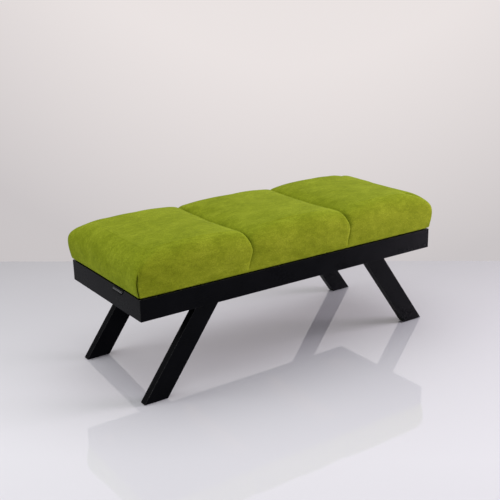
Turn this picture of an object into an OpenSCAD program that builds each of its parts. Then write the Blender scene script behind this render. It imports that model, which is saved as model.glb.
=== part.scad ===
// Upholstered bench: a black mitred frame on four splayed legs, under a padded seat in three sections.
// The origin is on the floor under the middle of the bench. X runs along it, Y from front to back, Z up.

/* [Frame] */
// Length over the frame
frame_l = 1200; // [1100:10:1500]
// Width over the frame, front to back
frame_w = 485; // [440:5:560]
// Height of the frame's top face above the floor
frame_top = 358; // [330:1:400]
// Height of each rail
rail_h = 70; // [66:1:80]
// Thickness of each rail
rail_t = 20; // [18:1:24]

/* [Legs] */
// Lean of each leg from the vertical, in degrees
leg_splay = 35.5; // [25:0.5:38]
// Width of a leg's bar, square to its slope
leg_w = 68; // [60:1:76]
// Thickness of a leg's bar
leg_t = 27; // [24:1:30]
// Distance from the frame's end to where a leg's outer edge leaves the frame
leg_inset = 209; // [180:1:240]
// Height of the foot glides
glide_h = 2; // [2:0.5:5]
// Diameter of the foot glides
glide_d = 24; // [20:1:26]

/* [Seat] */
// Height of the seat pad's crown above the frame
pad_h = 139; // [120:1:150]
// How far the pad stands out past the frame, all round
pad_overhang = 7; // [3:0.5:10]
// Radius where the pad's top rolls over to its sides
pad_edge_r = 55; // [35:1:60]
// Radius where the pad's sides tuck in above the frame
pad_tuck_r = 10; // [8:1:14]
// Radius of the pad's sections beside each seam
pad_seam_r = 15; // [12:1:30]
// How far the top arches up across a section
pad_crown = 6; // [3:1:12]
// Thickness of the seat board
board_t = 15; // [12:1:18]
// How far the seat board's edge lies inside the pad's, all round
board_inset = 14; // [12:1:22]

/* [Hidden] */
$fn = 48;

SIDES = [-1, 1];
CORNERS = [for (x = SIDES, y = SIDES) [x, y]];
through = 1;            // how far a cutter runs past the face it cuts
fit_gap = 0.05;         // play left round a screw, bolt, dowel or staple
half_l = frame_l / 2;
half_w = frame_w / 2;
rail_z = frame_top - rail_h;
inner_x = half_l - rail_t;
inner_y = half_w - rail_t;
frame_corner_r = 2;     // rounding of the frame's upright corners
under_seat = frame_top - 1;

// Legs lie against the inner faces of the long rails.
leg_run = leg_w / cos(leg_splay);
leg_z0 = glide_h;
leg_z1 = frame_top - 6;
leg_y = inner_y - leg_t / 2;
function leg_outer_x(z) = half_l - leg_inset + (rail_z - z) * tan(leg_splay);
function leg_mid_x(z) = leg_outer_x(z) - leg_run / 2;
foot_x = leg_mid_x(leg_z0);

// M8 leg bolts, two to a leg on its centre line, in inserts sunk in the long rails
bolt_r = 4;
bolt_hole_r = 4.5;
bolt_spacing = 28;
bolt_head_r = 6.5;
bolt_head_h = 8;
bolt_socket_af = 6;
bolt_socket_h = 4;
washer_r = 8;
washer_t = 1.6;
insert_r = 6;
insert_l = 13;
insert_bore_r = bolt_r + fit_gap;
bolt_step = 5;          // bolts come in lengths 5 mm apart
bolt_l = bolt_step * floor((leg_t + washer_t + insert_l - 1) / bolt_step);
bolt_zs = [for (s = SIDES) (rail_z + leg_z1) / 2 + s * bolt_spacing / 2];

// Cross rails stand under the pad's seams, on dowels.
seam_x = frame_l / 6;
cross_t = 20;
cross_h = 50;
dowel_r = 5;
dowel_l = 36;
dowel_in_rail = 10;
dowel_zs = [under_seat - 13, under_seat - 37];

// Corner blocks and their screws
block_leg = 72;
block_h = 30;
block_z = under_seat - block_h;
corner_screw_r = 2.25;
corner_screw_l = 50;
corner_screw_pitch = 30;
screw_head_r = 4.5;
screw_head_h = 2.5;

// Screws that hold the seat down
seat_screw_r = 2;
seat_screw_l = 44;
block_screw_in = block_leg / 3;
cross_screw_y = 120;
head_bore_r = 5.5;

// Foot glides and their nails
glide_recess_r = 4.5;
glide_recess_h = 1.2;
glide_chamfer = 0.5;
nail_r = 1.25;
nail_l = 22;
nail_head_r = 3.6;
nail_head_h = 0.8;

// Layers of the pad, as depths below the cover's outer face
cover_t = 3;
wadding_t = 8;
flange_w = 48;          // cover turned in under the board
seam_allowance = 40;    // cover turned down into the pad at each seam
board_z = frame_top + cover_t;
board_top = board_z + board_t;
board_corner_r = 8;
skirt_z = board_z + 3;  // where the wadding's skirt ends
pad_top = frame_top + pad_h;
pad_x = half_l + pad_overhang;
pad_y = half_w + pad_overhang;
seam_window_y = pad_y - seam_allowance;
seam_window_top = pad_top - seam_allowance;
seam_side_r = 0.5;      // rounding of a section's bottom edge where it meets its neighbour
arch_lap = 0.2;         // how far the top's arch cuts into its corner rounds
tie_t = 1.2;

// Dust cover, staples and tag
dust_t = 0.8;
dust_gap = 1;
staple_crown = 10;
staple_wire = 0.7;
staple_leg = 9;
staple_pitch = 60;
staple_edge = 9;        // from the rails' inner faces
cross_rail_shift = 10;  // moves the outer staples clear of the cross rails
tag_w = 62;
tag_h = 20;
tag_t = 1.2;
tag_tuck = 12;
tag_y = -106;

BLACK_PAINT = [0.02, 0.02, 0.023];
RAW_WOOD = [0.72, 0.55, 0.36];
PLY = [0.76, 0.62, 0.43];
STEEL = [0.66, 0.67, 0.69];
BLACK_PLASTIC = [0.05, 0.05, 0.05];
FOAM = [0.93, 0.89, 0.72];
WADDING = [0.95, 0.95, 0.94];
VELVET = [0.42, 0.48, 0.07];
BLACK_CLOTH = [0.06, 0.06, 0.06];

// Puts its children, drawn for the back right corner, at corner c
module at_corner(c) {
    mirror([c[0] < 0 ? 1 : 0, 0, 0])
        mirror([0, c[1] < 0 ? 1 : 0, 0])
            children();
}

module at_every_corner() {
    for (c = CORNERS) at_corner(c) children();
}

// A cylinder along +Y from y = 0
module along_y(r, l) {
    rotate([-90, 0, 0]) cylinder(r = r, h = l);
}

// What is cut off a square corner that points along d, to round it to radius r
module corner_waste(r, d) {
    difference() {
        square(2 * r, center = true);
        translate([-d[0] * r, -d[1] * r]) circle(r, $fn = 96);
    }
}

/* ---- frame ---- */

module frame_outline() {
    difference() {
        square([frame_l, frame_w], center = true);
        for (c = CORNERS) translate([c[0] * half_l, c[1] * half_w]) corner_waste(frame_corner_r, c);
    }
}

// Plan of a rail of length l along X, whose outer face is at y = w / 2, mitred at both ends
module mitred_plan(l, w) {
    polygon([
        [-l / 2, w / 2], [l / 2, w / 2],
        [l / 2 - rail_t, w / 2 - rail_t], [-l / 2 + rail_t, w / 2 - rail_t]
    ]);
}

module long_rail(side) {
    color(BLACK_PAINT) difference() {
        translate([0, 0, rail_z]) linear_extrude(rail_h) intersection() {
            frame_outline();
            mirror([0, side < 0 ? 1 : 0]) mitred_plan(frame_l, frame_w);
        }
        insert_sockets();
        dowels(fit_gap);
        corner_screws(fit_gap);
    }
}

module end_rail(side) {
    color(BLACK_PAINT) difference() {
        translate([0, 0, rail_z]) linear_extrude(rail_h) intersection() {
            frame_outline();
            rotate(-side * 90) mitred_plan(frame_w, frame_l);
        }
        corner_screws(fit_gap);
    }
}

module insert_sockets() {
    at_every_corner() for (z = bolt_zs)
        translate([leg_mid_x(z), inner_y - through, z]) along_y(insert_r + fit_gap, insert_l + through);
}

module dowels(gap) {
    at_every_corner() for (z = dowel_zs)
        translate([seam_x, inner_y + dowel_in_rail - dowel_l, z]) along_y(dowel_r + gap, dowel_l + gap);
}

module cross_rail(side) {
    color(RAW_WOOD) difference() {
        translate([side * seam_x - cross_t / 2, -inner_y, under_seat - cross_h])
            cube([cross_t, 2 * inner_y, cross_h]);
        dowels(fit_gap);
        seat_screws(fit_gap);
        for (s = SIDES) translate([side * seam_x, s * cross_screw_y, under_seat - cross_h - through])
            cylinder(r = head_bore_r, h = cross_h - block_h + through);
    }
}

module cross_rail_dowels() {
    color(RAW_WOOD) dowels(0);
}

/* ---- corner blocks ---- */

// Screws driven from each block's long face at 45 degrees into the frame's corner
module corner_screws(gap) {
    at_every_corner() for (s = SIDES)
        translate([inner_x - block_leg / 2, inner_y - block_leg / 2, block_z + block_h / 2])
            rotate(45) translate([0, s * corner_screw_pitch / 2, 0]) rotate([0, 90, 0]) {
                cylinder(r = corner_screw_r + gap, h = corner_screw_l + gap);
                cylinder(r1 = screw_head_r + gap, r2 = corner_screw_r + gap, h = screw_head_h);
            }
}

module seat_screw(gap) {
    cylinder(r = seat_screw_r + gap, h = seat_screw_l + gap);
    translate([0, 0, -screw_head_h]) cylinder(r = screw_head_r, h = screw_head_h);
}

module seat_screws(gap) {
    at_every_corner() {
        translate([inner_x - block_screw_in, inner_y - block_screw_in, block_z]) seat_screw(gap);
        translate([seam_x, cross_screw_y, block_z]) seat_screw(gap);
    }
}

module corner_block(c) {
    color(RAW_WOOD) difference() {
        at_corner(c) translate([inner_x, inner_y, block_z]) linear_extrude(block_h)
            polygon([[0, 0], [-block_leg, 0], [0, -block_leg]]);
        corner_screws(fit_gap);
        seat_screws(fit_gap);
    }
}

module corner_block_screws() {
    color(STEEL) corner_screws(0);
}

module seat_screw_set() {
    color(STEEL) seat_screws(0);
}

/* ---- legs ---- */

module leg(c) {
    color(BLACK_PAINT) difference() {
        at_corner(c) translate([0, inner_y, 0]) rotate([90, 0, 0]) linear_extrude(leg_t) polygon([
            [leg_outer_x(leg_z0) - leg_run, leg_z0], [leg_outer_x(leg_z0), leg_z0],
            [leg_outer_x(leg_z1), leg_z1], [leg_outer_x(leg_z1) - leg_run, leg_z1]
        ]);
        at_corner(c) for (z = bolt_zs)
            translate([leg_mid_x(z), inner_y - leg_t - through, z])
                along_y(bolt_hole_r, leg_t + 2 * through);
        nails(fit_gap);
    }
}

// Socket-head bolt with the bearing face of its head at y = 0
module bolt() {
    difference() {
        union() {
            along_y(bolt_r, bolt_l);
            translate([0, -bolt_head_h, 0]) along_y(bolt_head_r, bolt_head_h);
        }
        translate([0, -bolt_head_h - through, 0]) rotate([-90, 0, 0])
            cylinder(r = bolt_socket_af / 2 / cos(30), h = bolt_socket_h + through, $fn = 6);
    }
}

module leg_bolts() {
    color(STEEL) at_every_corner() for (z = bolt_zs)
        translate([leg_mid_x(z), inner_y - leg_t - washer_t, z]) bolt();
}

module ring_along_y(r, bore, l) {
    difference() {
        along_y(r, l);
        translate([0, -through, 0]) along_y(bore, l + 2 * through);
    }
}

module leg_washers() {
    color(STEEL) at_every_corner() for (z = bolt_zs)
        translate([leg_mid_x(z), inner_y - leg_t - washer_t, z])
            ring_along_y(washer_r, bolt_hole_r, washer_t);
}

module leg_inserts() {
    color(STEEL) at_every_corner() for (z = bolt_zs)
        translate([leg_mid_x(z), inner_y, z]) ring_along_y(insert_r, insert_bore_r, insert_l);
}

/* ---- feet ---- */

module glide(c) {
    color(BLACK_PLASTIC) at_corner(c) translate([foot_x, leg_y, 0]) rotate_extrude() polygon([
        [glide_recess_r, 0], [glide_d / 2 - glide_chamfer, 0], [glide_d / 2, glide_chamfer],
        [glide_d / 2, glide_h], [nail_r + fit_gap, glide_h],
        [nail_r + fit_gap, glide_recess_h], [glide_recess_r, glide_recess_h]
    ]);
}

module nails(gap) {
    at_every_corner() translate([foot_x, leg_y, glide_recess_h]) {
        cylinder(r = nail_r + gap, h = nail_l + gap);
        translate([0, 0, -nail_head_h]) cylinder(r = nail_head_r, h = nail_head_h);
    }
}

module glide_nails() {
    color(STEEL) nails(0);
}

/* ---- seat pad ---- */

// Upright outline with bottom corners of radius r_low and top corners of radii r_high, under a top that
// arches up by crown and runs down into its corners
module pad_outline(x0, x1, z0, z1, r_low, r_high, crown) {
    half = (x1 - x0) / 2;
    arch_r = (half * half + crown * crown) / (2 * crown);
    function arch_z(x) = z1 - arch_r + sqrt(arch_r * arch_r - x * x);
    translate([x0 + half, 0]) difference() {
        intersection() {
            translate([-half, z0]) square([2 * half, z1 - z0]);
            translate([0, z1 - arch_r]) circle(arch_r, $fn = 360);
        }
        for (i = [0, 1]) {
            side = SIDES[i];
            translate([side * half, z0]) corner_waste(r_low[i], [side, -1]);
            translate([side * half, arch_z(half - r_high[i]) + arch_lap]) corner_waste(r_high[i], [side, 1]);
        }
    }
}

// The space that the pad fills from x0 to x1, drawn in by depth from its outer face.
// outer tells for its left and its right side whether that is an end of the bench or a seam.
module pad_space(x0, x1, outer, depth) {
    tuck_r = max(pad_tuck_r - depth, 1);
    edge_r = pad_edge_r - depth;
    seam_r = pad_seam_r - depth / 2;
    z0 = frame_top + depth;
    z1 = pad_top - depth;
    intersection() {
        translate([0, pad_y, 0]) rotate([90, 0, 0]) linear_extrude(2 * pad_y)
            pad_outline(x0 + depth, x1 - depth, z0, z1, [for (o = outer) o ? tuck_r : seam_side_r],
                [for (o = outer) o ? edge_r : seam_r], pad_crown);
        translate([-pad_x, 0, 0]) rotate([90, 0, 90]) linear_extrude(2 * pad_x)
            pad_outline(depth - pad_y, pad_y - depth, z0, z1, [tuck_r, tuck_r], [edge_r, edge_r], pad_crown);
    }
}

// section is -1 for the left one, 0 for the centre one and 1 for the right one
module section_space(section, depth) {
    x0 = section < 0 ? -pad_x : section == 0 ? -seam_x : seam_x;
    x1 = section > 0 ? pad_x : section == 0 ? seam_x : -seam_x;
    pad_space(x0, x1, [section < 0, section > 0], depth);
}

// Everything between two levels
module slab(z0, z1) {
    translate([-frame_l, -frame_w, z0]) cube([2 * frame_l, 2 * frame_w, z1 - z0]);
}

// Cover panel of one section: top and sides, the part turned in under the board, and the seam allowances
module cover(section) {
    color(VELVET) difference() {
        section_space(section, 0);
        intersection() {
            section_space(section, cover_t);
            slab(board_z, pad_top);
        }
        for (s = SIDES) {
            translate([s * seam_x - 2 * cover_t, cover_t - pad_y, board_z])
                cube([4 * cover_t, 2 * (pad_y - cover_t), board_t]);
            translate([s * seam_x - 2 * cover_t, -seam_window_y, board_z])
                cube([4 * cover_t, 2 * seam_window_y, seam_window_top - board_z]);
        }
        translate([flange_w - pad_x, flange_w - pad_y, frame_top - through])
            cube([2 * (pad_x - flange_w), 2 * (pad_y - flange_w), cover_t + 2 * through]);
        staple_set(fit_gap);
        seat_screws(fit_gap);
        tag_tab(fit_gap);
    }
}

// Wadding over one foam block, its skirt run down past the edge of the seat board
module wadding(section) {
    skirt = cover_t + wadding_t;
    color(WADDING) difference() {
        intersection() {
            section_space(section, cover_t);
            slab(skirt_z, pad_top);
        }
        section_space(section, skirt);
        translate([skirt - pad_x, skirt - pad_y, board_z])
            cube([2 * (pad_x - skirt), 2 * (pad_y - skirt), board_t]);
    }
}

module foam(section) {
    color(FOAM) intersection() {
        section_space(section, cover_t + wadding_t);
        slab(board_top, pad_top);
    }
}

module seat_board() {
    x = pad_x - board_inset;
    y = pad_y - board_inset;
    r = board_corner_r;
    color(PLY) difference() {
        union() {
            translate([r - x, -y, board_z]) cube([2 * (x - r), 2 * y, board_t]);
            translate([-x, r - y, board_z]) cube([2 * x, 2 * (y - r), board_t]);
            for (c = CORNERS) translate([c[0] * (x - r), c[1] * (y - r), board_z]) cylinder(r = r, h = board_t);
        }
        staple_set(fit_gap);
        seat_screws(fit_gap);
    }
}

// Tape that holds a seam's allowances down to the board, between two foam blocks
module seam_tie(side) {
    color(BLACK_CLOTH) translate([side * seam_x - tie_t / 2, -seam_window_y, board_top])
        cube([tie_t, 2 * seam_window_y, seam_window_top - board_top]);
}

/* ---- underside and tag ---- */

module dust_cover() {
    x = inner_x - dust_gap;
    y = inner_y - dust_gap;
    color(BLACK_CLOTH) difference() {
        translate([-x, -y, frame_top - dust_t]) cube([2 * x, 2 * y, dust_t]);
        staple_set(fit_gap);
        seat_screws(fit_gap);
    }
}

// A staple as it sits in the board, its crown along X under the dust cover
module staple(gap) {
    crown_z = frame_top - dust_t - staple_wire;
    leg_side = staple_wire + 2 * gap;
    translate([-staple_crown / 2, -staple_wire / 2, crown_z]) cube([staple_crown, staple_wire, staple_wire]);
    for (s = SIDES) translate([s * (staple_crown - staple_wire) / 2 - leg_side / 2, -leg_side / 2, crown_z])
        cube([leg_side, leg_side, staple_leg + gap]);
}

module staple_set(gap) {
    long_xs = [for (i = [0:7]) (i + 0.5) * staple_pitch + (i > 2 ? cross_rail_shift : 0)];
    at_every_corner() for (x = long_xs) if (x < inner_x - block_leg - staple_crown)
        translate([x, inner_y - staple_edge, 0]) staple(gap);
    for (s = SIDES, i = [-2:2]) translate([s * (inner_x - staple_edge), i * staple_pitch, 0])
        rotate(90) staple(gap);
}

module staples() {
    color(STEEL) staple_set(0);
}

// The end of the tag that is caught between the pad and the left end rail
module tag_tab(gap) {
    translate([-half_l - tag_t, tag_y - tag_w / 2 - gap, frame_top])
        cube([tag_t + tag_tuck + gap, tag_w + 2 * gap, tag_t + gap]);
}

module side_tag() {
    color(BLACK_CLOTH) {
        tag_tab(0);
        translate([-half_l - tag_t, tag_y - tag_w / 2, frame_top - tag_h]) cube([tag_t, tag_w, tag_h]);
    }
}

long_rail(-1);  // front_rail
long_rail(1);  // back_rail
end_rail(-1);  // left_end_rail
end_rail(1);  // right_end_rail
cross_rail(-1);  // left_cross_rail
cross_rail(1);  // right_cross_rail
cross_rail_dowels();
corner_block([-1, -1]);  // front_left_corner_block
corner_block([1, -1]);  // front_right_corner_block
corner_block([-1, 1]);  // back_left_corner_block
corner_block([1, 1]);  // back_right_corner_block
corner_block_screws();
leg([-1, -1]);  // front_left_leg
leg([1, -1]);  // front_right_leg
leg([-1, 1]);  // back_left_leg
leg([1, 1]);  // back_right_leg
leg_bolts();
leg_washers();
leg_inserts();
glide([-1, -1]);  // front_left_glide
glide([1, -1]);  // front_right_glide
glide([-1, 1]);  // back_left_glide
glide([1, 1]);  // back_right_glide
glide_nails();
seat_board();
seat_screw_set();  // seat_screws
foam(-1);  // left_foam
foam(0);  // centre_foam
foam(1);  // right_foam
wadding(-1);  // left_wadding
wadding(0);  // centre_wadding
wadding(1);  // right_wadding
cover(-1);  // left_cover
cover(0);  // centre_cover
cover(1);  // right_cover
seam_tie(-1);  // left_seam_tie
seam_tie(1);  // right_seam_tie
dust_cover();
staples();
side_tag();
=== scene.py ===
# %% [markdown]
# # A three-section upholstered bench
# The bench has a black mitred frame, four splayed legs and a soft seat sewn in three sections.
# The frame comes from a CAD model, so its sizes are exact. This script gives each part its finish,
# makes the soft parts again as cloth, foam and wadding, and lights the bench as a studio would.
# All lengths are in metres, and +X runs along the bench, +Y to its back and +Z up.

# %% Load the frame
import math

import bpy
import numpy as np
from mathutils import Matrix, Vector, noise


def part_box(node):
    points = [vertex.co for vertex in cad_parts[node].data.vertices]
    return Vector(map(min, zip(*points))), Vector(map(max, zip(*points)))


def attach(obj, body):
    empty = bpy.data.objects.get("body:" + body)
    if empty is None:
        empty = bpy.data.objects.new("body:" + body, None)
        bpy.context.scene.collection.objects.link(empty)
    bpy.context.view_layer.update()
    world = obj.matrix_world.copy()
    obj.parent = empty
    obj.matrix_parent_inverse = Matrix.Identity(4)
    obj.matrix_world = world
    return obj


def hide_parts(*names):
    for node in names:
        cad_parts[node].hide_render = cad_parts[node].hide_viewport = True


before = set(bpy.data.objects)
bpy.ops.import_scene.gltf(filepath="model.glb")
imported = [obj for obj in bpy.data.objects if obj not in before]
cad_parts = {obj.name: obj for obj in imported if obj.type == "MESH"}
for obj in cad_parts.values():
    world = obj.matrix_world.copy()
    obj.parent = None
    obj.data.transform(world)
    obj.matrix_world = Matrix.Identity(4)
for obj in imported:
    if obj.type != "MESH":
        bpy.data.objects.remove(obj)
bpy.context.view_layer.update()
scene = bpy.context.scene

# %% [markdown]
# ## Camera
# A bench is shown from a little above seat height and from one corner, with a longish lens, so that
# the long sides hardly converge. The camera is placed by the point it looks
# at, its two angles and its distance, because those can be changed one at a time. Its slight roll
# is that of a camera on a tripod that isn't quite level.

# %% Camera
AIM = Vector((0.014, 0.073, 0.3125))
AZIMUTH, ELEVATION, ROLL = math.radians(-34.25), math.radians(17.99), math.radians(-1.2)
DISTANCE = 3.2
LENS = 63.4


def look_direction(azimuth, elevation):
    level = math.cos(elevation)
    return Vector((-math.sin(azimuth) * level, math.cos(azimuth) * level, -math.sin(elevation)))


forward = look_direction(AZIMUTH, ELEVATION)
camera = bpy.data.objects.new("camera", bpy.data.cameras.new("camera"))
camera.data.lens = LENS
camera.data.sensor_width = 36
camera.data.clip_start = 0.05
camera.data.clip_end = 60
camera.rotation_mode = "QUATERNION"
camera.location = AIM - forward * DISTANCE
level_view = forward.to_track_quat("-Z", "Y").to_matrix()
camera.rotation_quaternion = (level_view @ Matrix.Rotation(ROLL, 3, "Z")).to_quaternion()
scene.collection.objects.link(camera)
scene.camera = camera
print("camera at", [round(v, 3) for v in camera.location])

# %% [markdown]
# ## Helpers
# Every finish below is a node material with one Principled shader. These helpers make the nodes and
# links in one line each, so that a finish reads like a recipe. A value that is the same all over the
# surface is set on the shader itself; only what varies goes through nodes.

# %% Node helpers
class Finish:
    """A node material under construction. Values and outputs are both accepted as inputs."""

    def __init__(self, name, **shader_values):
        self.material = bpy.data.materials.new(name)
        self.material.use_nodes = True
        self.tree = self.material.node_tree
        self.shader = self.tree.nodes["Principled BSDF"]
        for socket, value in shader_values.items():
            self.shader.inputs[socket.replace("_", " ")].default_value = value
        self.place = self.node("ShaderNodeTexCoord").outputs["Object"]

    def node(self, kind, **settings):
        made = self.tree.nodes.new(kind)
        for name, value in settings.items():
            setattr(made, name, value)
        return made

    def feed(self, socket, value):
        if isinstance(value, bpy.types.NodeSocket):
            self.tree.links.new(value, socket)
        else:
            socket.default_value = value

    def stretched(self, scale):
        """Places scaled along each axis, for grain and streaks."""
        mapping = self.node("ShaderNodeMapping")
        self.feed(mapping.inputs["Vector"], self.place)
        mapping.inputs["Scale"].default_value = scale
        return mapping.outputs["Vector"]

    def parts(self, vector):
        """The X, Y and Z of a vector."""
        made = self.node("ShaderNodeSeparateXYZ")
        self.feed(made.inputs["Vector"], vector)
        return made.outputs

    def facing(self, kind="Normal"):
        """The X, Y and Z of the way the surface faces."""
        return self.parts(self.node("ShaderNodeNewGeometry").outputs[kind])

    def noise(self, scale, detail=2, roughness=0.5, place=None, distortion=0):
        made = self.node("ShaderNodeTexNoise")
        self.feed(made.inputs["Vector"], place or self.place)
        made.inputs["Scale"].default_value = scale
        made.inputs["Detail"].default_value = detail
        made.inputs["Roughness"].default_value = roughness
        made.inputs["Distortion"].default_value = distortion
        return made.outputs["Fac"]

    def cells(self, scale, place=None, randomness=1):
        made = self.node("ShaderNodeTexVoronoi")
        self.feed(made.inputs["Vector"], place or self.place)
        made.inputs["Scale"].default_value = scale
        made.inputs["Randomness"].default_value = randomness
        return made.outputs["Distance"]

    def ramp(self, value, stops):
        """value through a colour ramp; stops are (position, grey or colour)."""
        made = self.node("ShaderNodeValToRGB")
        while len(made.color_ramp.elements) < len(stops):
            made.color_ramp.elements.new(0.5)
        for element, (position, colour) in zip(made.color_ramp.elements, stops):
            element.position = position
            element.color = (colour,) * 3 + (1,) if isinstance(colour, (int, float)) else (*colour, 1)
        self.feed(made.inputs["Fac"], value)
        return made.outputs["Color"]

    def math(self, operation, a, b=0.0):
        made = self.node("ShaderNodeMath", operation=operation)
        self.feed(made.inputs[0], a)
        self.feed(made.inputs[1], b)
        return made.outputs["Value"]

    def mix(self, factor, a, b, blend="MIX"):
        made = self.node("ShaderNodeMix", data_type="RGBA", blend_type=blend)
        self.feed(made.inputs["Factor"], factor)
        for socket, value in ((made.inputs["A"], a), (made.inputs["B"], b)):
            self.feed(socket, (*value, 1) if isinstance(value, tuple) and len(value) == 3 else value)
        return made.outputs["Result"]

    def colour(self, value):
        self.feed(self.shader.inputs["Base Color"], value)
        return self

    def rough(self, value):
        self.feed(self.shader.inputs["Roughness"], value)
        return self

    def bump(self, height, depth, strength=1.0):
        """Relief of that depth in metres; a second call lies on top of the first."""
        made = self.node("ShaderNodeBump")
        made.inputs["Strength"].default_value = strength
        made.inputs["Distance"].default_value = depth
        self.feed(made.inputs["Height"], height)
        if self.shader.inputs["Normal"].links:
            self.feed(made.inputs["Normal"], self.shader.inputs["Normal"].links[0].from_socket)
        self.feed(self.shader.inputs["Normal"], made.outputs["Normal"])
        return self


def box_range(node):
    low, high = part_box(node)
    return np.array(low), np.array(high)


def new_piece(name, verts, faces, material, replaces):
    """A mesh piece that rides on the bench and stands for the named CAD nodes."""
    mesh = bpy.data.meshes.new(name)
    mesh.from_pydata([tuple(v) for v in verts], [], [tuple(f) for f in faces])
    mesh.update()
    piece = bpy.data.objects.new(name, mesh)
    scene.collection.objects.link(piece)
    mesh.materials.append(material)
    for polygon in mesh.polygons:
        polygon.use_smooth = True
    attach(piece, "root")
    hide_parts(*replaces)
    return piece


def thicken(piece, name, thickness, offset=0):
    """Give a sheet its thickness: to both sides, or with offset -1 inwards only."""
    thick = piece.modifiers.new(name, "SOLIDIFY")
    thick.thickness = thickness
    thick.offset = offset


def grid_faces(rows, n):
    """Faces of a sheet whose points are listed row by row, n to a row."""
    return [(i, i + 1, i + n + 1, i + n) for r in range(rows - 1) for i in range(r * n, r * n + n - 1)]


print("helpers ready")

# %% [markdown]
# ## Velvet
# The cover is a micro-suede: a very short, dense nap. It could be modelled as hairs, but they are
# far too fine to be seen one by one. What the eye reads is how the nap lies: soft
# patches where it is brushed one way or the other, fine streaks, and a pale bloom where the surface
# turns away. So the patches and streaks are noise in the colour, the nap is fine relief, and the
# bloom is the shader's sheen. Cloth that faces the front is painted a little browner: a painted
# tint for how the light falls on it.

# %% Velvet finish
def velvet_finish():
    finish = Finish("green_velvet", Sheen_Weight=0.14, Sheen_Roughness=0.35, Specular_IOR_Level=0.05)
    finish.shader.inputs["Sheen Tint"].default_value = (0.60, 0.74, 0.10, 1)
    patches = finish.noise(12, detail=4, roughness=0.6, place=finish.stretched((1, 1.5, 1.6)))
    streaks = finish.noise(75, detail=5, roughness=0.7, place=finish.stretched((0.45, 1.3, 0.8)))
    grain = finish.noise(300, detail=4, roughness=0.75)
    brushed = finish.math("ADD", finish.math("MULTIPLY", patches, 0.45),
                          finish.math("MULTIPLY", streaks, 0.55))
    base = finish.ramp(brushed, [(0.38, (0.165, 0.208, 0.0075)), (0.50, (0.205, 0.252, 0.0115)),
                                 (0.62, (0.248, 0.298, 0.0175))])
    fine = finish.ramp(grain, [(0.32, 0.68), (0.68, 1.32)])
    forwards = finish.math("MULTIPLY", finish.facing()["Y"], -1)
    # painted tint: cloth that faces the front is painted slightly browner, for how the light falls on it
    front = finish.ramp(forwards, [(0.35, (1, 1, 1)), (0.95, (1.02, 0.955, 1))])
    finish.colour(finish.mix(1.0, finish.mix(1.0, base, front, "MULTIPLY"), fine, "MULTIPLY"))
    finish.rough(finish.ramp(streaks, [(0.3, 0.82), (0.7, 0.95)]))
    finish.bump(patches, 0.0010, 0.30)
    finish.bump(grain, 0.00030, 0.5)
    return finish.material


velvet = velvet_finish()
print("finish:", velvet.name)

# %% [markdown]
# ## Inside the pad
# Cut foam shows its open cells, each a small pit, and each pit is painted darker as painted shade.
# Wadding is a cloud of crimped white fibres, so it has long soft strands in every direction. The
# tapes and the label are woven: two sets of ribs cross, and each set is a wave texture. The cloth
# under the seat is spun and not woven, and is welded in a grid of small dots.

# %% Foam, wadding and thin cloths
def foam_finish():
    finish = Finish("cut_foam", Specular_IOR_Level=0.2)
    pores = finish.cells(620)
    aged = finish.noise(7, detail=3)
    # painted shade: the colour darkens towards the middle of each pit, where shade would fall
    cells = finish.ramp(pores, [(0.15, 0.55), (0.45, 1.0)])
    base = finish.ramp(aged, [(0.35, (0.80, 0.70, 0.42)), (0.65, (0.88, 0.81, 0.56))])
    finish.colour(finish.mix(0.8, base, cells, "MULTIPLY"))
    finish.rough(finish.ramp(aged, [(0.3, 0.88), (0.7, 0.98)]))
    return finish.bump(pores, 0.0008, 0.8).material


def wadding_finish():
    finish = Finish("polyester_wadding", Sheen_Weight=0.3, Specular_IOR_Level=0.25)
    strands = finish.noise(160, detail=5, roughness=0.7, place=finish.stretched((0.3, 1, 1)), distortion=1.5)
    lumps = finish.noise(24, detail=2)
    finish.colour(finish.ramp(strands, [(0.3, (0.66, 0.66, 0.64)), (0.65, (0.90, 0.90, 0.88))]))
    finish.rough(finish.ramp(lumps, [(0.3, 0.85), (0.7, 0.97)]))
    return finish.bump(lumps, 0.002, 0.5).bump(strands, 0.0006, 0.7).material


def woven_finish(name, dark, light, axes, ribs=1100):
    """Ribs along both axes of a tape that lies in that plane, such as "YZ"."""
    finish = Finish(name, Specular_IOR_Level=0.12)
    waves = []
    for axis in axes:
        wave = finish.node("ShaderNodeTexWave", wave_type="BANDS", bands_direction=axis)
        finish.feed(wave.inputs["Vector"], finish.place)
        wave.inputs["Scale"].default_value = ribs / math.tau / 2
        wave.inputs["Distortion"].default_value = 0.6
        wave.inputs["Detail"].default_value = 2
        waves.append(wave.outputs["Fac"])
    weave = finish.math("MULTIPLY", waves[0], waves[1])
    finish.colour(finish.ramp(weave, [(0.1, dark), (0.8, light)]))
    finish.rough(finish.ramp(finish.noise(90), [(0.3, 0.62), (0.7, 0.80)]))
    finish.bump(weave, 0.0003, 0.8)
    return finish


def spun_finish():
    finish = Finish("spun_cloth", Specular_IOR_Level=0.25)
    fibres = finish.noise(420, detail=4, roughness=0.75, distortion=2)
    welds = finish.ramp(finish.cells(450, randomness=0.15), [(0.18, 0.0), (0.30, 1.0)])
    finish.colour(finish.ramp(fibres, [(0.3, (0.010, 0.010, 0.011)), (0.7, (0.030, 0.030, 0.032))]))
    finish.rough(finish.ramp(welds, [(0.0, 0.45), (1.0, 0.85)]))
    return finish.bump(fibres, 0.0002, 0.6).bump(welds, 0.0002, 0.7).material


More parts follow.
